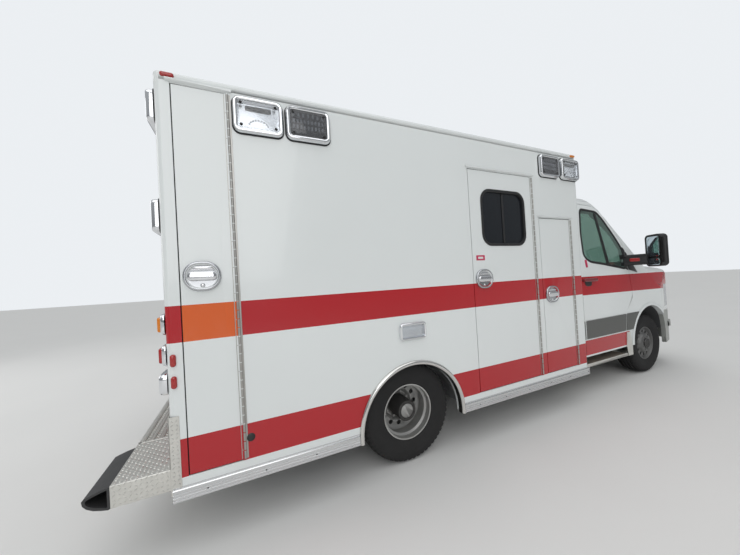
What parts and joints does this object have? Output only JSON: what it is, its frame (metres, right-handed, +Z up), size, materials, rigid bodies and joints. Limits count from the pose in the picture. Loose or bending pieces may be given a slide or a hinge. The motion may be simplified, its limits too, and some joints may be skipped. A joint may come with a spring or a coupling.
{
  "type": "box ambulance on a cab chassis",
  "caption": "Box-bodied ambulance on a van cab chassis, with swinging doors, opening compartments, steered front wheels, twin rear wheels and a flip-up rear step.",
  "frame": {"origin": "on the ground, under the middle of the whole vehicle", "axes": "+X forward, +Y to the vehicle's left, +Z up"},
  "size_m": [6.532, 2.7038, 2.6044],
  "materials": {
    "white_paint": "gloss",
    "chassis_black": "satin",
    "cast_engine": "rough",
    "exhaust_steel": "dull",
    "dark_plastic": "grained",
    "grey_plastic": "grained",
    "trim_plastic": "grained",
    "tinted_glass": "clear",
    "dark_glass": "dark tint",
    "lamp_glass": "clear",
    "red_lens": "moulded",
    "bright_chrome": "polished",
    "rail_aluminium": "extruded",
    "tread_aluminium": "tread pattern",
    "compartment_aluminium": "mill",
    "black_rubber": "moulded",
    "tyre_rubber": "worn",
    "wheel_steel": "dull silver",
    "wheel_steel_dark": "dull",
    "floor_sheet": "sheet floor",
    "cabinet_laminate": "laminate",
    "seat_vinyl": "vinyl"
  },
  "bodies": {
    "root": {"frame_rails": "chassis_black", "rear_axle": "chassis_black", "drivetrain": "cast_engine", "fuel_tank": "dark_plastic", "exhaust": "exhaust_steel", "front_suspension": "chassis_black", "cab_shell": "white_paint", "windscreen": "tinted_glass", "headlamps": "lamp_glass", "grille": "dark_plastic", "front_bumper": "grey_plastic", "cab_interior": "trim_plastic", "cab_seats": "seat_vinyl", "cab_steps": "tread_aluminium", "module_roof": "white_paint", "module_floor": "floor_sheet", "module_wall_right": "white_paint", "module_wall_left": "white_paint", "module_wall_rear": "white_paint", "module_wall_front": "white_paint", "compartments": "compartment_aluminium", "side_trim": "rail_aluminium", "step_wings": "tread_aluminium", "bumper_blocks": "black_rubber", "lamp_bezels": "bright_chrome", "lamp_lenses": "lamp_glass", "red_lamps": "red_lens", "cabinets": "cabinet_laminate", "bench_cushions": "seat_vinyl"},
    "knuckle_left": {"knuckle_left": "cast_engine"},
    "knuckle_right": {"knuckle_right": "cast_engine"},
    "wheel_front_left": {"tyre_front_left": "tyre_rubber", "rim_front_left": "wheel_steel_dark"},
    "wheel_front_right": {"tyre_front_right": "tyre_rubber", "rim_front_right": "wheel_steel_dark"},
    "wheels_rear_left": {"tyres_rear_left": "tyre_rubber", "rims_rear_left": "wheel_steel"},
    "wheels_rear_right": {"tyres_rear_right": "tyre_rubber", "rims_rear_right": "wheel_steel"},
    "hood": {"hood": "white_paint"},
    "cab_door_left": {"cab_door_left": "white_paint", "cab_glass_left": "tinted_glass", "mirror_left": "dark_plastic"},
    "cab_door_right": {"cab_door_right": "white_paint", "cab_glass_right": "tinted_glass", "mirror_right": "dark_plastic"},
    "door_entry": {"door_entry": "white_paint", "entry_glass": "dark_glass"},
    "door_right_rear": {"door_right_rear": "white_paint"},
    "door_right_front": {"door_right_front": "white_paint"},
    "door_left_rear": {"door_left_rear": "white_paint"},
    "door_left_front": {"door_left_front": "white_paint"},
    "back_door_left": {"back_door_left": "white_paint", "back_glass_left": "dark_glass"},
    "back_door_right": {"back_door_right": "white_paint", "back_glass_right": "dark_glass"},
    "step_grid": {"step_grid": "tread_aluminium"},
    "steering_wheel": {"steering_wheel": "trim_plastic"}
  },
  "joints": [
    {"name": "steer_left", "type": "hinge", "parent": "root", "child": "knuckle_left", "pos_m": [2.262, 0.8, 0.376], "axis": [0, 0, 1], "range_deg": [-35, 35]},
    {"name": "steer_right", "type": "hinge", "parent": "root", "child": "knuckle_right", "pos_m": [2.262, -0.8, 0.376], "axis": [0, 0, 1], "range_deg": [-35, 35]},
    {"name": "steering_wheel_turn", "type": "hinge", "parent": "root", "child": "steering_wheel", "pos_m": [1.655, 0.5, 1.262], "axis": [-0.8192, 0, 0.5736], "range_deg": [-525, 525]},
    {"name": "wheel_front_left_spin", "type": "hinge", "parent": "knuckle_left", "child": "wheel_front_left", "pos_m": [2.262, 0.837, 0.376], "axis": [0, 1, 0], "continuous": true},
    {"name": "wheels_rear_left_spin", "type": "hinge", "parent": "root", "child": "wheels_rear_left", "pos_m": [-1.403, 0.7675, 0.376], "axis": [0, 1, 0], "continuous": true},
    {"name": "wheel_front_right_spin", "type": "hinge", "parent": "knuckle_right", "child": "wheel_front_right", "pos_m": [2.262, -0.837, 0.376], "axis": [0, 1, 0], "continuous": true},
    {"name": "wheels_rear_right_spin", "type": "hinge", "parent": "root", "child": "wheels_rear_right", "pos_m": [-1.403, -0.7675, 0.376], "axis": [0, 1, 0], "continuous": true},
    {"name": "cab_door_left_hinge", "type": "hinge", "parent": "root", "child": "cab_door_left", "pos_m": [1.8604, 0.998, 1.04], "axis": [0, 0, -1], "range_deg": [0, 65]},
    {"name": "back_door_left_hinge", "type": "hinge", "parent": "root", "child": "back_door_left", "pos_m": [-2.913, 0.617, 1.59], "axis": [0, 0, -1], "range_deg": [0, 120]},
    {"name": "cab_door_right_hinge", "type": "hinge", "parent": "root", "child": "cab_door_right", "pos_m": [1.8604, -0.998, 1.04], "axis": [0, 0, 1], "range_deg": [0, 65]},
    {"name": "back_door_right_hinge", "type": "hinge", "parent": "root", "child": "back_door_right", "pos_m": [-2.913, -0.617, 1.59], "axis": [0, 0, 1], "range_deg": [0, 120]},
    {"name": "hood_hinge", "type": "hinge", "parent": "root", "child": "hood", "pos_m": [2.5486, 0, 1.393], "axis": [0, -1, 0], "range_deg": [0, 60]},
    {"name": "step_grid_hinge", "type": "hinge", "parent": "root", "child": "step_grid", "pos_m": [-2.925, 0, 0.478], "axis": [0, 1, 0], "range_deg": [0, 90]},
    {"name": "door_right_rear_hinge", "type": "hinge", "parent": "root", "child": "door_right_rear", "pos_m": [-2.549, -1.073, 1.2], "axis": [0, 0, 1], "range_deg": [0, 95]},
    {"name": "door_entry_hinge", "type": "hinge", "parent": "root", "child": "door_entry", "pos_m": [0.03, -1.073, 1.2], "axis": [0, 0, 1], "range_deg": [0, 95]},
    {"name": "door_right_front_hinge", "type": "hinge", "parent": "root", "child": "door_right_front", "pos_m": [0.586, -1.073, 1.2], "axis": [0, 0, 1], "range_deg": [0, 95]},
    {"name": "door_left_rear_hinge", "type": "hinge", "parent": "root", "child": "door_left_rear", "pos_m": [-2.249, 1.073, 1.2], "axis": [0, 0, -1], "range_deg": [0, 95]},
    {"name": "door_left_front_hinge", "type": "hinge", "parent": "root", "child": "door_left_front", "pos_m": [0.586, 1.073, 1.2], "axis": [0, 0, -1], "range_deg": [0, 95]}
  ],
  "couplings": [
    {"joint": "steer_right", "follows": "steer_left", "ratio": 1},
    {"joint": "steering_wheel_turn", "follows": "steer_left", "ratio": 15}
  ]
}
